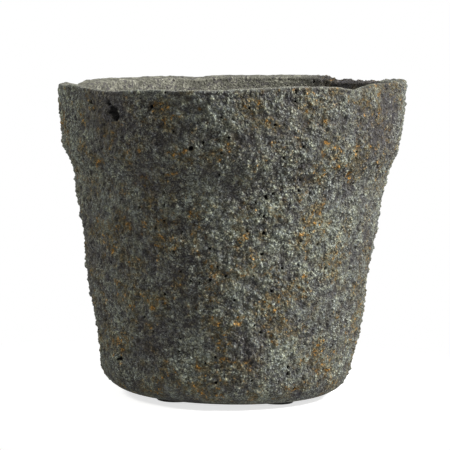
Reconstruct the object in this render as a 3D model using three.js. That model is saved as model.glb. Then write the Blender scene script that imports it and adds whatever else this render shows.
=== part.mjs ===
// Hand-formed stoneware flower pot: a thick tapered shell under a heavy collar, with an uneven lip,
// a drain hole in its floor, a lift-out rubber stopper in that hole and felt pads under the foot.
// Millimetres, +Z up. The origin is on the table, under the middle of the foot, and -Y is the front.

import * as THREE from 'three';

// Shell
const POT_HEIGHT = 196;
const RIM_DIAMETER = 220;
const COLLAR_HEIGHT = 42;
const COLLAR_LEAN = 3.8; // the collar's foot is this far inside its rim
const SHOULDER_HEIGHT = 14;
const SHOULDER_STEP = 7.5; // the body's top is this far inside the collar's foot
const BASE_DIAMETER = 154.6; // where the wall would meet the underside if its edge were sharp
const WALL = 8.5;
const FLOOR = 14;

// Rounding of the shell
const BASE_EDGE_RADIUS = 20;
const BODY_TOP_RADIUS = 25;
const COLLAR_FOOT_RADIUS = 22;
const LIP_RADIUS = 2.2;
const LIP_FALL = 2; // from the outer edge of the lip to the inner
const INNER_CORNER_RADIUS = 16;
const DRAIN_EDGE_RADIUS = 1.5;

// Marks of the hand: the lip rises towards the right, and was pressed down or left proud in places
const LIP_TILT = 3.2;
const LIP_MARKS = [
  { at: 42.5, halfWidth: 17, rise: -2.4 }, // nick at the front right
  { at: 61, halfWidth: 31, rise: 1.6 }, // proud bit beside the nick
  { at: 20, halfWidth: 56, rise: 1.4 }, // full stretch at the front
  { at: -44, halfWidth: 30, rise: -1.4 }, // low stretch at the front left
  { at: -68, halfWidth: 16, rise: 1.5 }, // proud tip at the left
  { at: 124, halfWidth: 44, rise: -2.3 }, // worn stretch at the back right
  { at: 138, halfWidth: 15, rise: -2.1 }, // step where that stretch begins
  { at: -166, halfWidth: 10, rise: -1.7 }, // dip at the back
];
// Slow swellings of the wall: lobes round the pot, and the height in which they go once round
const SWELLS = [
  { lobes: 2, depth: 0.5, from: 65, climb: 900 },
  { lobes: 3, depth: 0.45, from: 20, climb: 420 },
  { lobes: 5, depth: 0.35, from: 130, climb: -300 },
];
// Lumps that the fingers left on the outside, as swellings are given
const LUMPS = [
  { lobes: 3, depth: 0.3, from: 290, climb: 50 },
  { lobes: 6, depth: 0.35, from: 200, climb: -64 },
  { lobes: 9, depth: 0.35, from: 15, climb: 110 },
  { lobes: 11, depth: 0.35, from: 160, climb: -75 },
  { lobes: 14, depth: 0.3, from: 70, climb: 58 },
];
// Places where the outside was pressed in
const HOLLOWS = [
  { at: 86, height: 195, reach: 26, depth: 1.6 }, // right end of the lip
  { at: 84, height: 150, reach: 14, depth: 0.8 }, // under the collar at the right
  { at: -88, height: 100, reach: 30, depth: 1.3 }, // left side of the body
  { at: -88, height: 36, reach: 32, depth: 1.9 }, // left side above the foot
];
const COLLAR_SHIFT = 1; // the collar sits this far to the right of the foot

// Drain hole and stopper
const DRAIN_DIAMETER = 20; // at the floor of the pot
const DRAIN_DRAFT = 0.6; // the hole is this much less in radius at the underside
const FIT = 0.3; // clearance between the stopper and the clay
const HEAD_OVERLAP = 7;
const HEAD_THICKNESS = 3.5;
const HEAD_RADIUS = 1.4;
const SHANK_RECESS = 2; // the shank ends this far above the underside
const SEAL_RIBS = 3;
const RIB_DEPTH = 1;
const NECK_DIAMETER = 8;
const NECK_HEIGHT = 4;
const KNOB_DIAMETER = 14;
const KNOB_HEIGHT = 5.5;
const KNOB_RADIUS = 2.4;

// Felt pads
const PAD_COUNT = 4;
const PAD_DIAMETER = 22;
const PAD_THICKNESS = 2;
const PAD_EDGE_RADIUS = 0.5;
const PAD_INSET = 4; // from the rim of the flat underside
const ADHESIVE = 0.3; // film between pad and clay

// Facets
const SHELL_SEGMENTS = 90;
const STOPPER_SEGMENTS = 30;
const PAD_SEGMENTS = 24;
const OUTSIDE_STEP = 12; // longest stretch between rings on a straight wall
const INSIDE_STEP = 24;
const SHELL_ARC_STEP = THREE.MathUtils.degToRad(26); // most that an arc turns between two rings
const SMALL_ARC_STEP = THREE.MathUtils.degToRad(48);
const FILLET_SHARE = 0.48; // most of a straight stretch that one fillet may take

// Sizes that follow from those above
const standHeight = PAD_THICKNESS + ADHESIVE;
const rimRadius = RIM_DIAMETER / 2;
const baseRadius = BASE_DIAMETER / 2;
const collarFootRadius = rimRadius - COLLAR_LEAN;
const bodyTopRadius = collarFootRadius - SHOULDER_STEP;
const collarFootZ = POT_HEIGHT - COLLAR_HEIGHT;
const bodyTopZ = collarFootZ - SHOULDER_HEIGHT;
const taper = (bodyTopRadius - baseRadius) / bodyTopZ;
const wallAcross = WALL * Math.hypot(1, taper);
const insideRadius = (z) => baseRadius + taper * z - wallAcross;
const drainRadius = DRAIN_DIAMETER / 2;
const drainRadiusAt = (z) => drainRadius - (DRAIN_DRAFT * (FLOOR - z)) / FLOOR;
const headRadius = drainRadius + HEAD_OVERLAP;

const corner = (r, z, radius = 0, step = OUTSIDE_STEP) => ({ point: new THREE.Vector2(r, z), radius, step });

// The arc that rounds a corner between its two neighbours, as points from one straight stretch to the next.
function roundedCorner(before, { point, radius }, after, arcStep) {
  if (radius === 0) return [point];
  const back = before.point.clone().sub(point);
  const ahead = after.point.clone().sub(point);
  const shortest = Math.min(back.length(), ahead.length());
  back.normalize();
  ahead.normalize();
  const halfAngle = back.angleTo(ahead) / 2;
  const reach = Math.min(radius / Math.tan(halfAngle), FILLET_SHARE * shortest);
  const arcRadius = reach * Math.tan(halfAngle);
  const toCentre = back.clone().add(ahead).setLength(arcRadius / Math.sin(halfAngle));
  const centre = point.clone().add(toCentre);
  const start = back.multiplyScalar(reach).add(point).sub(centre).angle();
  const end = ahead.multiplyScalar(reach).add(point).sub(centre).angle();
  const turn = Math.PI - 2 * halfAngle;
  const clockwise = Math.sin(end - start) < 0;
  const arc = new THREE.EllipseCurve(centre.x, centre.y, arcRadius, arcRadius, start, end, clockwise);
  return arc.getPoints(Math.max(2, Math.ceil(turn / arcStep)));
}

// A profile through rounded corners. Each straight stretch is divided by the step of the corner it leaves.
function profile(corners, closed, arcStep) {
  const count = corners.length;
  const last = count - 1;
  const rounded = corners.map((it, i) => {
    const isEnd = !closed && (i === 0 || i === last);
    if (isEnd) return [it.point];
    return roundedCorner(corners[(i + last) % count], it, corners[(i + 1) % count], arcStep);
  });
  const points = [];
  rounded.forEach((arc, i) => {
    points.push(...arc);
    if (!closed && i === last) return;
    const stretch = new THREE.LineCurve(arc.at(-1), rounded[(i + 1) % count][0]);
    const parts = Math.ceil(stretch.getLength() / corners[i].step);
    points.push(...stretch.getPoints(parts).slice(1, -1));
  });
  if (closed) points.push(points[0].clone());
  return points;
}

// Revolves a profile of radius and height about Z. Column 0 faces the front, and the columns go round to the right.
function revolve(points, segments) {
  return new THREE.LatheGeometry(points, segments).rotateX(Math.PI / 2);
}

// How far round the rim an angle is from a mark's own angle in degrees.
function alongRim(angle, at) {
  const turn = THREE.MathUtils.euclideanModulo(angle - THREE.MathUtils.degToRad(at) + Math.PI, 2 * Math.PI);
  return Math.abs(turn - Math.PI) * rimRadius;
}

// The soft shape of a mark: 1 in its middle and 0 from its reach on.
function mark(away, reach) {
  return away < reach ? (1 + Math.cos((Math.PI * away) / reach)) / 2 : 0;
}

// How far the lip stands above its nominal height, at an angle round from the front.
function lipRise(angle) {
  return LIP_MARKS.reduce((sum, { at, halfWidth, rise }) => {
    return sum + rise * mark(alongRim(angle, at), halfWidth);
  }, LIP_TILT * Math.sin(angle));
}

// How far the wall swells out of true, at an angle round from the front and a height.
function wallSwell(swells, angle, z) {
  return swells.reduce((sum, { lobes, depth, from, climb }) => {
    const turned = lobes * (angle - THREE.MathUtils.degToRad(from)) + (2 * Math.PI * z) / climb;
    return sum + depth * Math.sin(turned);
  }, 0);
}

// How far the outside is pressed in, at an angle round from the front and a height.
function hollowDepth(angle, z) {
  return HOLLOWS.reduce((sum, { at, height, reach, depth }) => {
    return sum + depth * mark(Math.hypot(alongRim(angle, at), z - height), reach);
  }, 0);
}

// Leaves the marks of the hand on a true shell. The underside, the floor and the drain hole stay true.
function formByHand(geometry) {
  const position = geometry.getAttribute('position');
  const vertex = new THREE.Vector3();
  for (let i = 0; i < position.count; i++) {
    vertex.fromBufferAttribute(position, i);
    const radius = Math.hypot(vertex.x, vertex.y);
    const angle = Math.atan2(vertex.x, -vertex.y);
    const onWall = THREE.MathUtils.smoothstep(radius, headRadius, insideRadius(FLOOR));
    const aboveFoot = THREE.MathUtils.smoothstep(vertex.z, 0, BASE_EDGE_RADIUS);
    const onCollar = THREE.MathUtils.smoothstep(vertex.z, bodyTopZ, POT_HEIGHT);
    const innerRadius = insideRadius(vertex.z);
    const onOutside = THREE.MathUtils.smoothstep(radius, innerRadius, innerRadius + wallAcross);
    const pressed = wallSwell(LUMPS, angle, vertex.z) - hollowDepth(angle, vertex.z);
    const shift = aboveFoot * (onWall * wallSwell(SWELLS, angle, vertex.z) + onOutside * pressed);
    vertex.x += shift * Math.sin(angle) + COLLAR_SHIFT * onCollar;
    vertex.y -= shift * Math.cos(angle);
    vertex.z += onCollar * lipRise(angle);
    position.setXYZ(i, vertex.x, vertex.y, vertex.z);
  }
  geometry.computeVertexNormals();
  return geometry;
}

const shellCorners = [
  corner(baseRadius, 0, BASE_EDGE_RADIUS),
  corner(bodyTopRadius, bodyTopZ, BODY_TOP_RADIUS),
  corner(collarFootRadius, collarFootZ, COLLAR_FOOT_RADIUS),
  corner(rimRadius, POT_HEIGHT, LIP_RADIUS),
  corner(insideRadius(POT_HEIGHT), POT_HEIGHT - LIP_FALL, LIP_RADIUS, INSIDE_STEP),
  corner(insideRadius(FLOOR), FLOOR, INNER_CORNER_RADIUS, INSIDE_STEP),
  corner(drainRadius, FLOOR, DRAIN_EDGE_RADIUS),
  corner(drainRadiusAt(0), 0, DRAIN_EDGE_RADIUS, INSIDE_STEP),
];

function makeShell() {
  return formByHand(revolve(profile(shellCorners, true, SHELL_ARC_STEP), SHELL_SEGMENTS));
}

// The stopper's shank follows the drafted hole, with seal ribs that stand out to the clearance and grooves between.
function makeStopper() {
  const shankBottom = SHANK_RECESS;
  const shankTop = FLOOR + FIT;
  const ribPitch = (shankTop - shankBottom) / (SEAL_RIBS + 0.5);
  const ribRadiusAt = (z) => drainRadiusAt(z) - FIT;
  const corners = [corner(0, shankBottom), corner(ribRadiusAt(shankBottom) - RIB_DEPTH, shankBottom, RIB_DEPTH / 2)];
  for (let i = 0; i < SEAL_RIBS; i++) {
    const low = shankBottom + ribPitch * (i + 0.5);
    const high = low + ribPitch / 2;
    corners.push(corner(ribRadiusAt(low) - RIB_DEPTH, low));
    corners.push(corner(ribRadiusAt(high), (low + high) / 2, RIB_DEPTH / 2));
    corners.push(corner(ribRadiusAt(high) - RIB_DEPTH, high));
  }
  const headTop = shankTop + HEAD_THICKNESS;
  const knobBottom = headTop + NECK_HEIGHT;
  const knobTop = knobBottom + KNOB_HEIGHT;
  corners.push(
    corner(ribRadiusAt(shankTop) - RIB_DEPTH, shankTop),
    corner(headRadius, shankTop, HEAD_RADIUS / 2),
    corner(headRadius, headTop, HEAD_RADIUS),
    corner(NECK_DIAMETER / 2, headTop, HEAD_RADIUS),
    corner(NECK_DIAMETER / 2, knobBottom, HEAD_RADIUS),
    corner(KNOB_DIAMETER / 2, knobBottom, KNOB_RADIUS),
    corner(KNOB_DIAMETER / 2, knobTop, KNOB_RADIUS),
    corner(0, knobTop),
  );
  return revolve(profile(corners, false, SMALL_ARC_STEP), STOPPER_SEGMENTS);
}

function makePad() {
  const radius = PAD_DIAMETER / 2;
  const corners = [
    corner(0, 0),
    corner(radius, 0, PAD_EDGE_RADIUS),
    corner(radius, PAD_THICKNESS, PAD_EDGE_RADIUS),
    corner(0, PAD_THICKNESS),
  ];
  return revolve(profile(corners, false, SMALL_ARC_STEP), PAD_SEGMENTS);
}

const stoneware = new THREE.MeshStandardMaterial({ color: 0x56554d, roughness: 0.96, metalness: 0 });
const rubber = new THREE.MeshStandardMaterial({ color: 0x202122, roughness: 0.7, metalness: 0 });
const felt = new THREE.MeshStandardMaterial({ color: 0x3d3b38, roughness: 1, metalness: 0 });

function piece(name, geometry, material) {
  const mesh = new THREE.Mesh(geometry, material);
  mesh.name = name;
  return mesh;
}

// Shell and stopper stand together on the pads.
const standing = new THREE.Group();
standing.position.z = standHeight;
standing.add(piece('pot_shell', makeShell(), stoneware));
standing.add(piece('drain_stopper', makeStopper(), rubber));

// The pads sit in a ring just inside the rounded edge of the underside, the first at the front right.
const pads = new THREE.Group();
const baseEdge = roundedCorner(shellCorners.at(-1), shellCorners[0], shellCorners[1], SHELL_ARC_STEP);
const undersideRadius = baseEdge[0].x;
const padCircle = undersideRadius - PAD_INSET - PAD_DIAMETER / 2;
for (let i = 0; i < PAD_COUNT; i++) {
  const angle = (2 * Math.PI * (i + 0.5)) / PAD_COUNT;
  const pad = piece(`foot_pad_${i + 1}`, makePad(), felt);
  pad.position.set(padCircle * Math.sin(angle), -padCircle * Math.cos(angle), 0);
  pads.add(pad);
}

const flowerPot = new THREE.Group();
flowerPot.add(standing, pads);

export default flowerPot;
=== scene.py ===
"""Looks of a hand-formed stoneware flower pot: crusted shell, rubber stopper and felt pads."""

import math

import bpy
from bpy.props import FloatProperty, FloatVectorProperty, IntProperty, PointerProperty
from mathutils import Matrix, Vector


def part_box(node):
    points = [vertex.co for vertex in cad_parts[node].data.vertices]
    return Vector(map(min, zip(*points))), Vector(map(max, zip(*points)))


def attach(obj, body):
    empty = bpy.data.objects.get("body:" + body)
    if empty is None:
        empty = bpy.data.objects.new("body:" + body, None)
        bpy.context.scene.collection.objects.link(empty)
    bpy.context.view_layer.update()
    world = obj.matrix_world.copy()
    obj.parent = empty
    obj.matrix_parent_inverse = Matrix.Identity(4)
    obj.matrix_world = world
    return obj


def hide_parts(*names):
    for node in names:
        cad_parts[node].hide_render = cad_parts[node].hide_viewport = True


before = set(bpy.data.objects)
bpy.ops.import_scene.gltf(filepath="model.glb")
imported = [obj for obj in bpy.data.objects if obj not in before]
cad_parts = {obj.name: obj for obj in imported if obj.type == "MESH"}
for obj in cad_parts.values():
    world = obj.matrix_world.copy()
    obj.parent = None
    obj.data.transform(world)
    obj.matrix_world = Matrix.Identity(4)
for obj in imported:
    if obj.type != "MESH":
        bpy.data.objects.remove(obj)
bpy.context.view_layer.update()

bl_info = {
    "name": "Crusted Flower Pot",
    "version": (1, 0, 0),
    "blender": (4, 5, 0),
    "location": "3D View > Sidebar > Flower Pot",
    "description": "Builds the crusted shell, stopper and felt pads of a flower pot",
    "category": "Object",
}

MM = 0.001

# Names of the mesh attributes that carry a pattern over the surface
REST = "rest"
OUTSIDE = "outside"
TONE = "tone"
RUST = "rust"
RISE = "rise"
LINING = "lining"
LIP = "lip"
BAKE_MAP = "OFBake"

SHELL_LOW, SHELL_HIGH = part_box("pot_shell")
FOOT_Z = SHELL_LOW.z / MM
RIM_Z = SHELL_HIGH.z / MM

# Triangles that one piece may have, a little under the 200,000 past which its STL file is thinned
TRIANGLE_LIMIT = 199_000
# Points closer than this are one, in copies of CAD meshes and where the wall is cut
MERGE_DISTANCE = 0.01 * MM
CUT_DISTANCE = 0.001 * MM
WHITE = (1, 1, 1, 1)

# Layers of the crust: the size of their lumps and grains, and how far they rise, in millimetres
CLUMP_SIZE = 10
CLUMP_RISE = 2.8
LUMP_SIZE = 4.5
LUMP_RISE = 1.8
PEBBLE_SIZE = 5
PEBBLE_RISE = 1.4
GRAVEL_SIZE = 2.4
GRAVEL_RISE = 1.0
SAND_SIZE = 1.4
SAND_RISE = 0.7
GRIT_SIZE = 0.8
# How far the gaps between the grains lie below the smooth wall
CRUST_SINK = 0.6
# Share of the crust's height on the inner wall
FAINT_CRUST = 0.16
PORE_SIZE = 5.5
PINHOLE_SIZE = 2.0
PIT_DEPTH = 3.5
LOW_LIP_DEPTH = 2.4
# Share of a soft patch's reach that has its full strength
PATCH_CORE = 0.15

# Marks that show in the photograph. Degrees round from the front, to the right, and heights in millimetres
# Pits: degrees, height, radius
PITS = {
    "void under the lip": (-41.6, 182.8, 3.4),
    "foot of the void": (-40.4, 179.8, 2.5),
    "pit above the void": (-43.5, 187.5, 1.5),
    "pit beside the void": (-53, 187, 1.2),
    "pit on the collar": (-26, 187, 1.2),
    "pit with a chip": (-13, 163, 1.3),
    "shoulder pit": (25, 138, 0.9),
    "upper body pit": (13, 134, 1.0),
    "body pit over a chip": (13, 112, 1.1),
    "right body pit": (41, 89, 1.1),
    "left body pit": (-26, 72, 1.0),
    "low left pit": (-53, 28, 1.3),
}
# Large nodules: degrees, height, reach, rise
NODULES = {
    "left body": (-53.6, 121, 6, 1.8),
    "left edge": (-84, 113, 5, 1.3),
    "lower left edge": (-69, 98, 6, 1.4),
    "left shoulder": (-66, 153, 7, 1.2),
}
# Middle of the lip's broken stretch at the back: degrees, height
BROKEN_EDGE = (128, 193)
# Low stretch of the lip at the back left: degrees, height
LOW_LIP = (-108, 194)
# Darker and paler stretches of wall: degrees, height, reach, change of tone. The darkening at the far left
# and at the left collar is partly the crust's own tone and partly painted shade of the side away from the
# key lamp, and the shaded lining at the back right is painted shade
TONES = {
    # Partly painted shade: the left collar lies away from the key lamp
    "dark left collar": (-46, 182, 36, -0.75),
    "dark collar": (-26, 176, 26, -0.5),
    "dark shoulder": (-29, 142, 16, -0.6),
    "dark streak, top": (-42, 113, 14, -0.45),
    "dark streak, middle": (-31, 99, 14, -0.5),
    "dark streak, end": (-22, 83, 16, -0.5),
    "dark low left": (-34, 43, 22, -0.5),
    "dark low middle": (8, 38, 18, -0.7),
    "pale collar": (-2, 178, 18, 0.2),
    "dark right collar": (17, 175, 16, -0.4),
    "dark right shoulder": (26, 146, 13, -0.45),
    "dark far right shoulder": (44, 145, 13, -0.45),
    "pale under the shoulder": (-5, 129, 14, 0.5),
    "palest spot": (15, 128, 11, 1.1),
    "pale below it": (17, 108, 14, 0.7),
    "pale middle": (0, 114, 13, 0.45),
    "pale right side": (38, 105, 34, 0.55),
    "pale right shoulder": (43, 157, 12, 0.6),
    "pale low left": (-11, 32, 11, 0.9),
    "pale foot": (-15, 17, 10, 0.9),
    "pale low right": (24, 36, 16, 0.8),
    "pale edge of the foot": (16, 9, 13, 0.8),
    "pale far low right": (59, 22, 15, 0.5),
    # Partly painted shade of the left side, away from the key lamp
    "dark far left": (-74, 88, 55, -0.5),
    "dark right end of the collar": (62, 178, 36, -0.9),
    "dark far right collar": (46, 178, 30, -0.35),
    "dark mid left": (-22, 58, 26, -0.1),
    "pale mid": (3, 86, 22, 0.35),
    "broken edge": (*BROKEN_EDGE, 44, -2.2),
    # Painted shade: the right wall shades the lining here
    "shaded lining at the back right": (145, 186, 30, -1.2),
    "dark blotch on the lining": (173, 188, 12, -1.6),
    "dark blotch beside it": (166, 184, 10, -1.2),
}
# Where rust flecks gather: degrees, height, reach, strength
RUSTS = {
    "left collar": (-24, 186, 11, 0.7),
    "collar": (8, 189, 8, 0.9),
    "collar, lower": (12, 178, 7, 0.9),
    "far left collar": (-44, 159, 9, 0.5),
    "shoulder, left": (-16, 156, 12, 0.8),
    "shoulder, middle": (-5, 157, 9, 1.0),
    "right collar": (33, 166, 8, 1.0),
    "right shoulder": (32, 147, 9, 1.0),
    "far right shoulder": (49, 146, 12, 1.0),
    "left body": (-30, 128, 8, 0.7),
    "body": (-13, 122, 8, 0.9),
    "right body": (32, 123, 11, 1.1),
    "body chip": (13, 110, 6, 1.3),
    "far left body": (-44, 118, 12, 0.5),
    "lower right body": (45, 89, 15, 1.1),
    "low left body": (-29, 68, 12, 0.6),
    "low body": (-7, 72, 12, 0.8),
    "low right body": (17, 72, 8, 1.2),
    "right foot": (44, 36, 11, 1.2),
    "left foot": (-12, 30, 7, 1.0),
    "foot": (-7, 14, 14, 1.0),
    "far right foot": (39, 16, 9, 0.9),
}


# Node trees written as expressions


class Value:
    """An output socket. Python's operators on it add Math nodes to its graph."""

    def __init__(self, graph, socket):
        self.graph = graph
        self.socket = socket

    def __add__(self, other):
        return self.graph.math("ADD", self, other)

    __radd__ = __add__

    def __sub__(self, other):
        return self.graph.math("SUBTRACT", self, other)

    def __rsub__(self, other):
        return self.graph.math("SUBTRACT", other, self)

    def __mul__(self, other):
        return self.graph.math("MULTIPLY", self, other)

    __rmul__ = __mul__

    def __truediv__(self, other):
        return self.graph.math("DIVIDE", self, other)

    def __pow__(self, other):
        return self.graph.math("POWER", self, other)


class Graph:
    """A node tree that is filled by calls. Socket names may be a socket's name or its identifier."""

    def __init__(self, tree):
        self.tree = tree

    def add(self, kind, settings=None, sockets=None, output=0):
        """Adds a node, sets it up, feeds its sockets and gives one of its outputs."""
        node = self.tree.nodes.new(kind)
        for name, value in (settings or {}).items():
            setattr(node, name, value)
        for name, value in (sockets or {}).items():
            socket = next(s for s in node.inputs if name in (s.identifier, s.name))
            if isinstance(value, Value):
                self.tree.links.new(value.socket, socket)
            else:
                socket.default_value = value
        if not node.outputs:
            return None
        if isinstance(output, str):
            return Value(self, next(s for s in node.outputs if output in (s.identifier, s.name)))
        return Value(self, node.outputs[output])

    def math(self, operation, first, second=0.0):
        return self.add("ShaderNodeMath", {"operation": operation}, {"Value": first, "Value_001": second})

    def ramp(self, value, low, high, start=0.0, end=1.0):
        """Goes smoothly from start to end as value goes from low to high."""
        sockets = {"Value": value, "From Min": low, "From Max": high, "To Min": start, "To Max": end}
        return self.add("ShaderNodeMapRange", {"interpolation_type": "SMOOTHSTEP"}, sockets)

    def mix(self, first, second, factor):
        """Colours from first, at factor 0, to second, at factor 1."""
        sockets = {"Factor_Float": factor, "A_Color": first, "B_Color": second}
        return self.add("ShaderNodeMix", {"data_type": "RGBA"}, sockets, "Result_Color")

    def vector(self, operation, first, second=(0, 0, 0), output="Vector"):
        sockets = {"Vector": first, "Vector_001": second}
        return self.add("ShaderNodeVectorMath", {"operation": operation}, sockets, output)

    def part(self, vector, axis):
        """One part of a vector: X, Y or Z."""
        return self.add("ShaderNodeSeparateXYZ", None, {"Vector": vector}, axis)

    def tone(self, colour, value):
        """A colour or vector times a value."""
        sockets = {"Vector": colour, "Scale": value}
        return self.add("ShaderNodeVectorMath", {"operation": "SCALE"}, sockets)

    def shifted(self, point, seed):
        """The same point in another part of every pattern."""
        offset = (seed * 0.37, seed * -0.61, seed * 0.83)
        return self.vector("ADD", point, offset)

    def noise(self, point, size, detail=2.0, roughness=0.5, seed=0):
        """Fractal noise about 0.5, with features of a size in millimetres."""
        sockets = {"Vector": self.shifted(point, seed), "Scale": 1 / (size * MM)}
        return self.add("ShaderNodeTexNoise", None, {**sockets, "Detail": detail, "Roughness": roughness})

    def cells(self, point, size, output, seed=0):
        """Grain-like cells of a size in millimetres: the distance to the nearest, or its random colour."""
        sockets = {"Vector": self.shifted(point, seed), "Scale": 1 / (size * MM)}
        return self.add("ShaderNodeTexVoronoi", None, sockets, output)

    def chance(self, point, size, seed=0):
        """One random number for each cell of a size in millimetres."""
        colour = self.cells(point, size, "Color", seed)
        return self.part(colour, "X")


def point_on_wall(degrees, height):
    """A point of the outer wall at an angle round from the front and a height in millimetres."""
    angle = math.radians(degrees)
    out = Vector((math.sin(angle), -math.cos(angle), 0))
    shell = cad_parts["pot_shell"]
    found, place, _, _ = shell.ray_cast(out * 0.3 + Vector((0, 0, height * MM)), -out)
    if not found:
        raise RuntimeError(f"no wall at {degrees} degrees and {height} mm")
    return place


def distance_to(graph, place, degrees, height):
    """How far a place is from a point of the outer wall, in millimetres."""
    return graph.vector("DISTANCE", place, tuple(point_on_wall(degrees, height)), "Value") / MM


def patches(graph, place, marks):
    """The sum of soft round patches of different reach and strength."""
    total = None
    for degrees, height, reach, strength in marks.values():
        distance = distance_to(graph, place, degrees, height)
        patch = graph.ramp(distance, reach, PATCH_CORE * reach, 0.0, strength)
        total = patch if total is None else total + patch
    return total


def pit_depth(graph, place):
    """From 0 on sound wall to 1 at the bottom of the pits."""
    deepest = None
    uneven = graph.noise(place, 2.4, detail=1, roughness=0.6, seed=13) - 0.5
    for degrees, height, radius in PITS.values():
        brim = 1.3 * radius
        bottom = 0.5 * radius
        wander = 1.2 * radius + 0.6
        distance = distance_to(graph, place, degrees, height) + uneven * wander
        depth = graph.ramp(distance, brim, bottom)
        deepest = depth if deepest is None else graph.math("MAXIMUM", deepest, depth)
    pores = graph.ramp(graph.cells(place, PORE_SIZE, "Distance", seed=11) + uneven * 0.25, 0.17, 0.09)
    few = graph.ramp(graph.chance(place, PORE_SIZE, seed=11), 0.70, 0.72)
    return graph.math("MAXIMUM", deepest, pores * few)


def grains(graph, place, size, seed):
    """Rounded grains of a size in millimetres, up to 1 high, with gaps at 0 between them."""
    rounded = graph.ramp(graph.cells(place, size, "Distance", seed), 0.56, 0.1)
    return rounded * graph.chance(place, size, seed)


def pebbles(graph, place):
    return grains(graph, place, PEBBLE_SIZE, seed=7)


def gravel(graph, place):
    return grains(graph, place, GRAVEL_SIZE, seed=4)


def sand_grains(graph, place):
    return grains(graph, place, SAND_SIZE, seed=5)


def clump_height(graph, place):
    return graph.noise(place, CLUMP_SIZE, detail=2, roughness=0.6, seed=2) - 0.5


def lump_height(graph, place):
    return graph.noise(place, LUMP_SIZE, detail=1, roughness=0.6, seed=3) - 0.5


def crust_relief(graph, place):
    """How far the crust stands out of the smooth wall, in millimetres."""
    clumps = clump_height(graph, place) * CLUMP_RISE
    lumps = lump_height(graph, place) * LUMP_RISE
    coarse = pebbles(graph, place) * PEBBLE_RISE + gravel(graph, place) * GRAVEL_RISE
    return clumps + lumps + coarse + sand_grains(graph, place) * SAND_RISE - CRUST_SINK


# Modelling helpers


def select_only(piece):
    bpy.ops.object.select_all(action="DESELECT")
    piece.select_set(True)
    bpy.context.view_layer.objects.active = piece


def copy_of_node(node, name):
    """A new object with a merged copy of a CAD node's mesh."""
    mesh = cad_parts[node].data.copy()
    mesh.name = name
    mesh.materials.clear()
    piece = bpy.data.objects.new(name, mesh)
    bpy.context.scene.collection.objects.link(piece)
    select_only(piece)
    bpy.ops.object.mode_set(mode="EDIT")
    bpy.ops.mesh.select_all(action="SELECT")
    bpy.ops.mesh.remove_doubles(threshold=MERGE_DISTANCE)
    bpy.ops.object.mode_set(mode="OBJECT")
    return piece


def apply_modifier(piece, kind, **settings):
    select_only(piece)
    modifier = piece.modifiers.new(kind.title(), kind)
    for name, value in settings.items():
        setattr(modifier, name, value)
    bpy.ops.object.modifier_apply(modifier=modifier.name)


def smoothed_copy(node, name, edge=0.0):
    """A copy of a CAD node with its sharp edges rounded, if they are to be, and its facets smoothed."""
    piece = copy_of_node(node, name)
    bpy.ops.object.mode_set(mode="EDIT")
    bpy.ops.mesh.select_all(action="SELECT")
    bpy.ops.mesh.tris_convert_to_quads(face_threshold=math.radians(20), shape_threshold=math.radians(40))
    bpy.ops.object.mode_set(mode="OBJECT")
    if edge:
        apply_modifier(piece, "BEVEL", width=edge, segments=2, angle_limit=math.radians(35))
    apply_modifier(piece, "SUBSURF", levels=2, render_levels=2)
    bpy.ops.object.shade_smooth()
    return piece


def geometry_tree(name):
    """A geometry node tree with one geometry in and one out: the tree's graph and its input."""
    tree = bpy.data.node_groups.new(name, "GeometryNodeTree")
    for way in ("INPUT", "OUTPUT"):
        tree.interface.new_socket("Geometry", in_out=way, socket_type="NodeSocketGeometry")
    graph = Graph(tree)
    return graph, graph.add("NodeGroupInput")


def store(graph, geometry, name, kind, value, domain="POINT"):
    """Keeps a value on a geometry as a named attribute."""
    settings = {"data_type": kind, "domain": domain}
    sockets = {"Geometry": geometry, "Name": name, "Value": value}
    return graph.add("GeometryNodeStoreNamedAttribute", settings, sockets)


def finish_piece(piece, body, material, replaced=()):
    """Gives a finished piece its material and ties it to the CAD model."""
    piece.data.materials.clear()
    piece.data.materials.append(material)
    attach(piece, body)
    if replaced:
        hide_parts(*replaced)


def new_material(name):
    """A new material with an empty node tree: the material and its graph."""
    material = bpy.data.materials.new(name)
    material.use_nodes = True
    material.node_tree.nodes.clear()
    return material, Graph(material.node_tree)


def finish_material(graph, colour, roughness, height, distance, strength):
    """Ends a material in one Principled shader whose bump follows a height."""
    bump = graph.add("ShaderNodeBump", None, {"Strength": strength, "Distance": distance, "Height": height})
    sockets = {"Base Color": colour, "Roughness": roughness, "Normal": bump, "Specular IOR Level": 0.25}
    shader = graph.add("ShaderNodeBsdfPrincipled", None, sockets)
    graph.add("ShaderNodeOutputMaterial", None, {"Surface": shader})


def attribute(graph, name, output="Vector"):
    return graph.add("ShaderNodeAttribute", {"attribute_name": name}, None, output)


# Settings


def colour_setting(name, description, value):
    return FloatVectorProperty(name=name, description=description, subtype="COLOR", default=value)


def length_setting(name, description, metres):
    return FloatProperty(name=name, description=description, unit="LENGTH", default=metres)


def angle_setting(name, description, degrees):
    return FloatProperty(name=name, description=description, subtype="ANGLE", default=math.radians(degrees))


def power_setting(name, description, watts):
    return FloatProperty(name=name, description=description, subtype="POWER", default=watts)


def number_setting(name, description, value):
    return FloatProperty(name=name, description=description, default=value)


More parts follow.
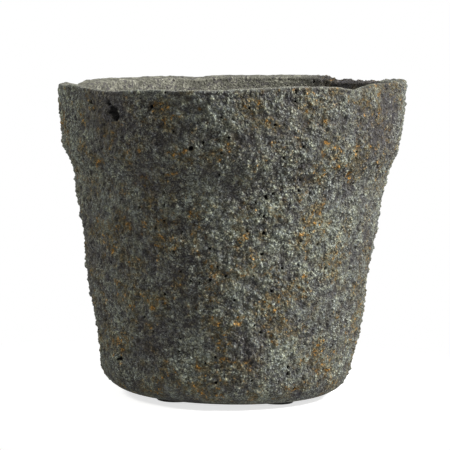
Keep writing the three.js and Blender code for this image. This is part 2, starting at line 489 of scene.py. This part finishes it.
class PotShellSettings(bpy.types.PropertyGroup):
    """Mesh and colours of the crusted shell."""

    voxel: length_setting("Voxel", "Mesh size of the wall", 0.67 * MM)
    kept: number_setting("Kept", "Share of faces left by thinning the inner wall", 0.71)
    rings: IntProperty(name="Rings", description="Pieces that the wall is cut into", default=7)
    # Near-black painted shade for the crust's low gaps, pinholes and pits
    crevice_shade: colour_setting("Crevice", "Bottom of the crust", (0.010, 0.0095, 0.009))
    stone: colour_setting("Stone", "Bare dark crust", (0.0975, 0.0935, 0.0885))
    # Dust colour, laid in patches and also on the tops of lumps and grains, where it is partly painted
    # light
    dust: colour_setting("Dust", "Pale dust on high places", (0.209, 0.231, 0.184))
    cool: colour_setting("Cool Grain", "Tint of the coolest grains", (0.965, 0.985, 1.12))
    warm: colour_setting("Warm Grain", "Tint of the warmest grains", (1.035, 1.0, 0.88))
    olive: colour_setting("Olive", "Halo of the rust", (0.13, 0.128, 0.07))
    ochre: colour_setting("Ochre", "Brown stain", (0.160, 0.118, 0.056))
    amber: colour_setting("Amber", "Bright rust flecks", (0.37, 0.195, 0.042))
    lining: colour_setting("Lining", "Smoother inner wall", (0.175, 0.175, 0.138))
    # Pale front lip edge: painted highlight where light catches the rim, with rubbed dust
    rub_and_highlight: colour_setting("Rubbed", "Pale edge of the front lip", (0.36, 0.37, 0.32))


class FittingSettings(bpy.types.PropertyGroup):
    """Edges and colours of the stopper and the pads."""

    stopper_edge: length_setting("Stopper Edge", "Rounding", 0.4 * MM)
    pad_edge: length_setting("Pad Edge", "Rounding", 0.4 * MM)
    rubber: colour_setting("Rubber", "Stopper", (0.022, 0.022, 0.023))
    bloom: colour_setting("Bloom", "Dull film on the rubber", (0.06, 0.06, 0.058))
    felt: colour_setting("Felt", "Matted fibres", (0.10, 0.097, 0.09))
    fibre: colour_setting("Fibre", "Fibres that stand up", (0.27, 0.26, 0.24))


class StageSettings(bpy.types.PropertyGroup):
    """Camera, lamps and floor."""

    distance: length_setting("Camera Distance", "From the pot's axis", 1.602)
    height: length_setting("Camera Height", "Above the table", 0.2699)
    lens: number_setting("Lens", "Focal length in millimetres", 202.8)
    pitch: angle_setting("Pitch", "Below level", 5.79)
    yaw: angle_setting("Yaw", "To the left", 0.09)
    roll: angle_setting("Roll", "Against the clock", 1.23)
    key: power_setting("Key Lamp", "Power of the lamp at the right", 36.0)
    fill: power_setting("Fill Lamp", "Power of the lamp at the left", 12.0)
    key_colour: colour_setting("Key Colour", "Light of the lamp at the right", (1.0, 0.975, 0.995))
    fill_colour: colour_setting("Fill Colour", "Light of the lamp at the left", (1.0, 0.99, 0.955))
    ambient: number_setting("Ambient", "Strength of the surrounding light", 0.14)


# Materials


def crust_colour(graph, settings, rest, height):
    """Colour of the crust at a place: stone and dust in patches, finely mottled, with rust flecks, and with
    painted shade in the hollows of lumps and grains and painted light on their tops.
    """
    tone = attribute(graph, TONE, "Fac")
    rust = attribute(graph, RUST, "Fac")
    busy = graph.ramp(graph.noise(rest, 22, detail=1, roughness=0.5, seed=28), 0.36, 0.64, 0.65, 1.25)
    # The lumps' own noise: it mottles the crust, and paints shade in the hollows between lumps and light on
    # their tops
    mottle_and_lump_shade = lump_height(graph, rest)
    sand = (graph.chance(rest, 0.75, seed=24) - 0.5) * busy
    pale = graph.ramp(graph.chance(rest, 1.5, seed=30), 0.9, 0.95) * busy
    stained = graph.noise(rest, 3.5, detail=1, roughness=0.6, seed=25)
    pick = stained + (graph.chance(rest, 1.5, seed=26) - 0.5) * 0.36 + sand * 0.08
    # Dust lies in patches, and also on high lumps and grains as painted light
    dust_and_lit_tops = graph.ramp(tone * 0.6 + mottle_and_lump_shade * 1.2 + sand * 0.5 + height * 0.3, -0.6, 0.7)
    base = graph.mix((*settings.stone, 1), (*settings.dust, 1), dust_and_lit_tops)
    tint = graph.mix((*settings.cool, 1), (*settings.warm, 1), graph.chance(rest, 1.4, seed=29))
    base = graph.vector("MULTIPLY", base, tint)
    base = graph.mix(base, (*settings.olive, 1), rust * graph.ramp(pick, 0.28, 0.52) * 0.65)
    base = graph.mix(base, (*settings.ochre, 1), rust * graph.ramp(pick, 0.43, 0.62) * 0.8)
    base = graph.mix(base, (*settings.amber, 1), rust * graph.ramp(pick, 0.72, 0.77))
    # Painted light and shade: paler where lumps and grains stand high, darker where they lie low
    light = tone * 0.2 + mottle_and_lump_shade * 1.6 + sand * 1.1 + height * busy * 0.4 + pale * 0.2 + 0.02
    return graph.tone(base, graph.math("POWER", math.e, light))


def crust_material(settings):
    """The wall: mottled crumbs outside, with painted shade in the gaps and pores between them, and a paler
    lining inside.
    """
    material, graph = new_material("crust")
    rest = attribute(graph, REST)
    outside = attribute(graph, OUTSIDE, "Fac")
    lip = attribute(graph, LIP, "Fac")

    # The crust, with painted shade in the low gaps between its grains and in the pinholes
    grit = grains(graph, rest, GRIT_SIZE, seed=6) - 0.18
    height = gravel(graph, rest) * 0.45 + sand_grains(graph, rest) * 0.9 + grit * 0.5 - 0.25
    pinholes = graph.ramp(graph.cells(rest, PINHOLE_SIZE, "Distance", seed=12), 0.22, 0.12)
    pinholes = pinholes * graph.ramp(graph.chance(rest, PINHOLE_SIZE, seed=12), 0.5, 0.55)
    # Painted shade: darkest where the grains lie low and in the pinholes
    gaps = graph.math("MAXIMUM", graph.ramp(height, -0.2, -0.3) * 0.5, pinholes)
    crust = crust_colour(graph, settings, rest, height)
    crust = graph.mix(crust, (*settings.crevice_shade, 1), gaps * 0.9)

    # The lining
    tone = attribute(graph, TONE, "Fac")
    cloudy = graph.noise(rest, 6, detail=2, roughness=0.6, seed=32) - 0.5
    speckled = graph.ramp(graph.chance(rest, 1.5, seed=31) + cloudy * 1.2, 0.7, 0.85)
    fine = graph.chance(rest, 0.9, seed=33) - 0.5
    # The tone paints shade on the lining at the back right
    shade = graph.math("POWER", math.e, cloudy * 2.6 + grit * 0.8 + fine * 0.9 + tone * 0.22 + 0.12)
    lining = graph.tone(tuple(settings.lining), shade)
    lining = graph.mix(lining, (*settings.stone, 1), speckled * 0.9)

    # Both walls, the pale front lip edge and the pits. The lip edge is a painted highlight where light
    # catches the rim, with rubbed dust
    colour = graph.mix(lining, crust, outside)
    colour = graph.mix(colour, (*settings.rub_and_highlight, 1), lip * graph.ramp(grit, -0.25, 0.05) * 0.85)
    # Painted shade towards the bottom of the pits and pores
    colour = graph.mix(colour, (*settings.crevice_shade, 1), graph.ramp(pit_depth(graph, rest), 0.1, 0.45))
    finish_material(graph, colour, roughness=0.92, height=height, distance=0.7 * MM, strength=1.0)
    return material


def rubber_material(settings):
    """Matt black rubber with a faint bloom."""
    material, graph = new_material("rubber")
    place = graph.add("ShaderNodeTexCoord", None, None, "Object")
    bloom = graph.noise(place, 6, detail=4, roughness=0.6, seed=61)
    grain = graph.noise(place, 0.5, detail=2, roughness=0.6, seed=62)
    colour = graph.mix((*settings.rubber, 1), (*settings.bloom, 1), graph.ramp(bloom, 0.4, 0.75) * 0.5)
    roughness = graph.ramp(bloom, 0.3, 0.7, 0.5, 0.75)
    finish_material(graph, colour, roughness, height=grain, distance=0.1 * MM, strength=0.3)
    return material


def felt_material(settings):
    """Pressed grey felt: matted fibres, lighter where they stand up."""
    material, graph = new_material("felt")
    place = graph.add("ShaderNodeTexCoord", None, None, "Object")
    fibres = graph.noise(place, 0.6, detail=4, roughness=0.7, seed=71)
    cloudy = graph.noise(place, 5, detail=2, roughness=0.5, seed=72)
    standing = graph.ramp(fibres + cloudy * 0.3, 0.5, 0.9)
    colour = graph.mix((*settings.felt, 1), (*settings.fibre, 1), standing)
    finish_material(graph, colour, roughness=0.95, height=fibres, distance=0.3 * MM, strength=0.7)
    return material


# Pieces


class POT_OT_shell(bpy.types.Operator):
    """Model the crusted shell, in rings from the foot to the lip"""

    bl_idname = "flower_pot.shell"
    bl_label = "Pot Shell"

    def execute(self, context):
        settings = context.scene.pot_shell
        shell = smoothed_copy("pot_shell", "wall")
        shell.data.remesh_voxel_size = settings.voxel * 1
        bpy.ops.object.voxel_remesh()
        apply_modifier(shell, "SMOOTH", factor=0.5, iterations=3)
        shell.vertex_groups.new(name=LINING)
        apply_modifier(shell, "NODES", node_group=self.crust_tree())
        apply_modifier(shell, "DECIMATE", ratio=settings.kept, vertex_group=LINING)
        material = crust_material(settings)
        raising = self.raising_tree()
        heights = sorted(vertex.co.z for vertex in shell.data.vertices)
        for number in range(1, settings.rings + 1):
            ring = shell
            if number < settings.rings:
                ring = self.cut_ring(shell, heights[number * len(heights) // settings.rings])
            ring.name = f"wall_{number}"
            self.unwrap(ring)
            apply_modifier(ring, "NODES", node_group=raising)
            bpy.ops.object.shade_smooth()
            finish_piece(ring, "pot", material, ["pot_shell"])
            triangles = sum(len(face.vertices) - 2 for face in ring.data.polygons)
            if triangles > TRIANGLE_LIMIT:
                raise RuntimeError(f"{ring.name} has {triangles} triangles")
        return {"FINISHED"}

    def cut_ring(self, shell, height):
        """Cuts off what is below a height. Both sides of the cut are closed, with a sharp edge."""
        ring = shell.copy()
        ring.data = shell.data.copy()
        bpy.context.scene.collection.objects.link(ring)
        for piece, side in ((shell, "clear_inner"), (ring, "clear_outer")):
            select_only(piece)
            bpy.ops.object.mode_set(mode="EDIT")
            bpy.ops.mesh.select_all(action="SELECT")
            plane = {"plane_co": (0, 0, height), "plane_no": (0, 0, 1), "threshold": CUT_DISTANCE}
            bpy.ops.mesh.bisect(**plane, use_fill=True, **{side: True})
            bpy.ops.mesh.mark_sharp()
            bpy.ops.mesh.quads_convert_to_tris()
            bpy.ops.object.mode_set(mode="OBJECT")
        return ring

    def unwrap(self, ring):
        """Lays the wall out flat while it is still smooth."""
        select_only(ring)
        ring.data.uv_layers.new(name=BAKE_MAP)
        bpy.ops.object.mode_set(mode="EDIT")
        bpy.ops.mesh.select_all(action="SELECT")
        bpy.ops.uv.smart_project(angle_limit=math.radians(66), island_margin=0.003)
        bpy.ops.object.mode_set(mode="OBJECT")

    def crust_tree(self):
        """Works out the crust: full outside, faint inside, none underneath or round the drain.

        What is thinned next moves at once. The rest moves later, by raising_tree.
        """
        graph, geometry = geometry_tree("crust")

        # Where a point is, and which way it faces
        place = graph.add("GeometryNodeInputPosition")
        normal = graph.add("GeometryNodeInputNormal")
        flat = graph.vector("MULTIPLY", place, (1, 1, 0))
        radius = graph.vector("LENGTH", flat, output="Value") / MM
        facing = graph.vector("DOT_PRODUCT", normal, graph.vector("NORMALIZE", flat), "Value")
        upward = graph.part(normal, "Z")
        height = graph.part(place, "Z") / MM
        across = graph.part(place, "X") / MM
        depth = graph.part(place, "Y") / MM

        # Parts of the wall, and where the crust gets less, as shares up to 1
        front = graph.ramp(depth, 20, -20)
        right = graph.ramp(across, 66, 80)
        broken = graph.ramp(distance_to(graph, place, *BROKEN_EDGE), 50, 24)
        top = graph.ramp(height, RIM_Z - 16, RIM_Z - 10)
        edge = top * 0.35 - 0.25
        outside = graph.ramp(facing, edge, edge + 0.4) * graph.ramp(radius, 30, 50)
        outside = graph.math("MAXIMUM", outside, graph.math("MAXIMUM", broken, right * top))
        under = graph.ramp(upward, -0.97, -0.55)
        away = graph.ramp(radius, 25, 45)
        worn = graph.ramp(height, FOOT_Z, FOOT_Z + 22, 0.4, 1.0)
        # Top of the front lip, which is later painted pale as a highlight on the rim, with rubbed dust
        lip = graph.ramp(upward, 0.75, 0.92) * graph.ramp(facing, 0.0, 0.25) * top * front * (1 - right)
        calm = graph.ramp(upward, 0.2, 0.6) * top * (1 - broken)

        # How far the surface moves: the crust, pits, nodules, the nibbled lip and its low stretch
        amount = (FAINT_CRUST + outside * (1 - FAINT_CRUST)) * under * away * worn * (1 - calm * 0.75)
        raised = crust_relief(graph, place) * amount - pit_depth(graph, place) * outside * PIT_DEPTH
        raised = raised + patches(graph, place, NODULES) * outside
        nibbled = lump_height(graph, place) * 0.9 + clump_height(graph, place) * 1.2 + 0.7
        raised = raised + graph.ramp(upward, 0.3, 0.8) * top * nibbled
        sunk = graph.ramp(distance_to(graph, place, *LOW_LIP), 20, 8) * LOW_LIP_DEPTH
        down = graph.add("ShaderNodeCombineXYZ", None, {"Z": sunk})
        offset = graph.vector("SUBTRACT", graph.tone(normal, raised), down)

        # Patterns of tone and rust. The clump tone is darker in the clumps' hollows and paler on them,
        # partly patchy tone and partly painted shade
        slow = (graph.noise(place, 34, detail=2, roughness=0.5, seed=21) - 0.5) * 0.3
        clump_tone_and_shade = clump_height(graph, place) * 2.5
        rust = patches(graph, place, RUSTS) * 0.7
        cloudy = graph.noise(place, 17, detail=3, roughness=0.65, seed=27)
        rust = rust + graph.ramp(cloudy, 0.40, 0.68, 0.0, 0.8)

        # What is thinned: the inner wall, the underside and the floor
        thinned = graph.math("LESS_THAN", facing, -0.5) + graph.math("LESS_THAN", upward, -0.97)
        thinned = thinned + graph.math("LESS_THAN", radius, 60)
        thinned = graph.math("MINIMUM", thinned, 1.0)

        stored = store(graph, geometry, REST, "FLOAT_VECTOR", place)
        stored = store(graph, stored, OUTSIDE, "FLOAT", outside)
        stored = store(graph, stored, TONE, "FLOAT", patches(graph, place, TONES) + slow + clump_tone_and_shade)
        stored = store(graph, stored, RUST, "FLOAT", graph.ramp(rust, 0.0, 1.0))
        stored = store(graph, stored, LIP, "FLOAT", lip)
        stored = store(graph, stored, RISE, "FLOAT_VECTOR", graph.tone(offset, (1 - thinned) * MM))
        stored = store(graph, stored, LINING, "FLOAT", thinned)
        inner = graph.tone(offset, thinned * MM)
        stored = graph.add("GeometryNodeSetPosition", None, {"Geometry": stored, "Offset": inner})
        graph.add("NodeGroupOutput", None, {"Geometry": stored})
        return graph.tree

    def raising_tree(self):
        """Raises the crust that was worked out, but not past the box of the CAD shell."""
        graph, geometry = geometry_tree("raising")
        rise = {"data_type": "FLOAT_VECTOR"}
        offset = graph.add("GeometryNodeInputNamedAttribute", rise, {"Name": RISE}, "Attribute")
        place = graph.vector("ADD", graph.add("GeometryNodeInputPosition"), offset)
        place = graph.vector("MINIMUM", place, tuple(SHELL_HIGH))
        place = graph.vector("MAXIMUM", place, tuple(SHELL_LOW))
        moved = graph.add("GeometryNodeSetPosition", None, {"Geometry": geometry, "Position": place})
        moved = graph.add("GeometryNodeRemoveAttribute", None, {"Geometry": moved, "Name": RISE})
        graph.add("NodeGroupOutput", None, {"Geometry": moved})
        return graph.tree


class POT_OT_stopper(bpy.types.Operator):
    """Model the rubber stopper in the drain hole"""

    bl_idname = "flower_pot.stopper"
    bl_label = "Drain Stopper"

    def execute(self, context):
        settings = context.scene.pot_fittings
        stopper = smoothed_copy("drain_stopper", "rubber_stopper", settings.stopper_edge)
        finish_piece(stopper, "stopper", rubber_material(settings), ["drain_stopper"])
        return {"FINISHED"}


class POT_OT_pads(bpy.types.Operator):
    """Model the felt pads under the foot"""

    bl_idname = "flower_pot.pads"
    bl_label = "Felt Pads"

    def execute(self, context):
        settings = context.scene.pot_fittings
        material = felt_material(settings)
        for node in [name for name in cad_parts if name.startswith("foot_pad_")]:
            pad = smoothed_copy(node, node.replace("foot", "felt"), settings.pad_edge)
            finish_piece(pad, "pot", material, [node])
        return {"FINISHED"}


class POT_OT_stage(bpy.types.Operator):
    """Set up the camera, the lamps, the white surroundings and the floor"""

    bl_idname = "flower_pot.stage"
    bl_label = "Stage"

    def execute(self, context):
        settings = context.scene.pot_stage
        self.place_camera(context.scene, settings)
        key = self.place_lamp("key", azimuth=66, elevation=38, distance=1.5, size=0.45)
        key.energy = settings.key
        key.color = settings.key_colour
        fill = self.place_lamp("fill", azimuth=-93, elevation=36, distance=1.6, size=0.4)
        fill.energy = settings.fill
        fill.color = settings.fill_colour
        self.light_world(context.scene, settings)
        self.lay_floor()
        context.scene.view_settings.view_transform = "Standard"
        return {"FINISHED"}

    def place_camera(self, scene, settings):
        camera = bpy.data.objects.new("camera", bpy.data.cameras.new("camera"))
        scene.collection.objects.link(camera)
        camera.data.lens = settings.lens
        turn = Matrix.Rotation(settings.yaw, 4, "Z") @ Matrix.Rotation(math.pi / 2 - settings.pitch, 4, "X")
        turn = turn @ Matrix.Rotation(settings.roll, 4, "Z")
        camera.matrix_world = Matrix.Translation((0, -settings.distance, settings.height)) @ turn
        scene.camera = camera

    def place_lamp(self, name, azimuth, elevation, distance, size):
        """A soft square lamp that faces the pot, at angles round from the camera and above level."""
        middle = Vector((0, 0, 0.1))
        lamp = bpy.data.objects.new(name, bpy.data.lights.new(name, "AREA"))
        bpy.context.scene.collection.objects.link(lamp)
        lamp.data.shape = "SQUARE"
        lamp.data.size = size
        round_by = math.radians(azimuth)
        up_by = math.radians(elevation)
        level = math.cos(up_by)
        back = Vector((math.sin(round_by) * level, -math.cos(round_by) * level, math.sin(up_by)))
        lamp.location = middle + back * distance
        lamp.rotation_euler = (-back).to_track_quat("-Z", "Y").to_euler()
        return lamp.data

    def light_world(self, scene, settings):
        world = bpy.data.worlds.new("studio")
        world.use_nodes = True
        world.node_tree.nodes.clear()
        graph = Graph(world.node_tree)
        seen = self.seen(graph)
        strength = graph.math("MAXIMUM", seen, settings.ambient)
        back = graph.add("ShaderNodeBackground", None, {"Color": WHITE, "Strength": strength})
        graph.add("ShaderNodeOutputWorld", None, {"Surface": back})
        scene.world = world

    def seen(self, graph):
        """1 for what the camera sees, also in gloss and glass, and 0 for light that falls on the pot."""
        kinds = ("Is Camera Ray", "Is Glossy Ray", "Is Transmission Ray")
        camera, gloss, glass = [graph.add("ShaderNodeLightPath", None, None, kind) for kind in kinds]
        return graph.math("MAXIMUM", graph.math("MAXIMUM", camera, gloss), glass)

    def lay_floor(self):
        """A floor that looks white, with a soft shadow near the pot, and gives dull light back to it."""
        bpy.ops.object.select_all(action="DESELECT")
        bpy.ops.mesh.primitive_circle_add(vertices=96, radius=3.0, fill_type="NGON")
        floor = bpy.context.object
        floor.name = "floor"
        material, graph = new_material("floor")
        place = graph.add("ShaderNodeTexCoord", None, None, "Object")
        far = graph.vector("LENGTH", place, output="Value")
        near = graph.ramp(far, 0.24, 0.10)
        white = graph.add("ShaderNodeEmission", None, {"Color": WHITE, "Strength": 1.0})
        matt = graph.add("ShaderNodeBsdfDiffuse", None, {"Color": (0.8, 0.8, 0.8, 1)})
        glow = graph.add("ShaderNodeEmission", None, {"Color": WHITE, "Strength": 0.72})
        lit = graph.add("ShaderNodeAddShader", None, {"Shader": matt, "Shader_001": glow})
        shown = graph.add("ShaderNodeMixShader", None, {"Fac": near, "Shader": white, "Shader_001": lit})
        dull = graph.add("ShaderNodeBsdfDiffuse", None, {"Color": (0.45, 0.45, 0.45, 1)})
        sockets = {"Fac": self.seen(graph), "Shader": dull, "Shader_001": shown}
        mixed = graph.add("ShaderNodeMixShader", None, sockets)
        graph.add("ShaderNodeOutputMaterial", None, {"Surface": mixed})
        floor.data.materials.append(material)


class POT_PT_panel(bpy.types.Panel):
    """Lists the pot's pieces and their settings"""

    bl_label = "Flower Pot"
    bl_idname = "POT_PT_panel"
    bl_space_type = "VIEW_3D"
    bl_region_type = "UI"
    bl_category = "Flower Pot"

    def draw(self, context):
        for operator, name in STEPS:
            box = self.layout.box()
            box.operator(operator.bl_idname)
            group = getattr(context.scene, name)
            for prop in group.bl_rna.properties:
                if not prop.is_readonly and prop.identifier != "name":
                    box.prop(group, prop.identifier)


STEPS = [
    (POT_OT_shell, "pot_shell"),
    (POT_OT_stopper, "pot_fittings"),
    (POT_OT_pads, "pot_fittings"),
    (POT_OT_stage, "pot_stage"),
]
SETTINGS = {
    "pot_shell": PotShellSettings,
    "pot_fittings": FittingSettings,
    "pot_stage": StageSettings,
}


def register():
    for name, group in SETTINGS.items():
        bpy.utils.register_class(group)
        setattr(bpy.types.Scene, name, PointerProperty(type=group))
    for operator, _ in STEPS:
        bpy.utils.register_class(operator)
    bpy.utils.register_class(POT_PT_panel)


def unregister():
    bpy.utils.unregister_class(POT_PT_panel)
    for operator, _ in reversed(STEPS):
        bpy.utils.unregister_class(operator)
    for name, group in SETTINGS.items():
        delattr(bpy.types.Scene, name)
        bpy.utils.unregister_class(group)


def main():
    register()
    for operator, _ in STEPS:
        category, name = operator.bl_idname.split(".")
        getattr(getattr(bpy.ops, category), name)()


if __name__ == "__main__":
    main()
